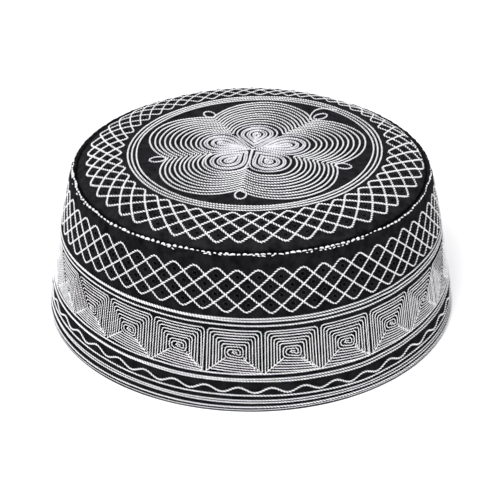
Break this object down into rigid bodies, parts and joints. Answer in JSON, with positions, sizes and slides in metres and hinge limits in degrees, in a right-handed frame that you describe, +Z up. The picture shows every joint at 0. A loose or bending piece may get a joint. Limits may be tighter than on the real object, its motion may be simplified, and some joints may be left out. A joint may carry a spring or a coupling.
{
  "type": "kufi",
  "caption": "Round black cloth cap with a tapering stiff wall, a flat soft-edged top and white embroidered bands, worn on the head.",
  "frame": {"origin": "centre of the rim's circle, on the surface that the cap rests on", "axes": "+Z up along the cap's axis, -Y towards the front, +X to the right of a viewer who looks at the front"},
  "size_m": [0.19, 0.19, 0.0752],
  "materials": {
    "band_cloth": "matte",
    "crown_cloth": "matte",
    "welt_cloth": "matte",
    "white_thread": "satin",
    "black_thread": "satin"
  },
  "bodies": {
    "root": {"side_band": "band_cloth", "crown_top": "crown_cloth", "seam_welt": "welt_cloth"}
  },
  "joints": []
}
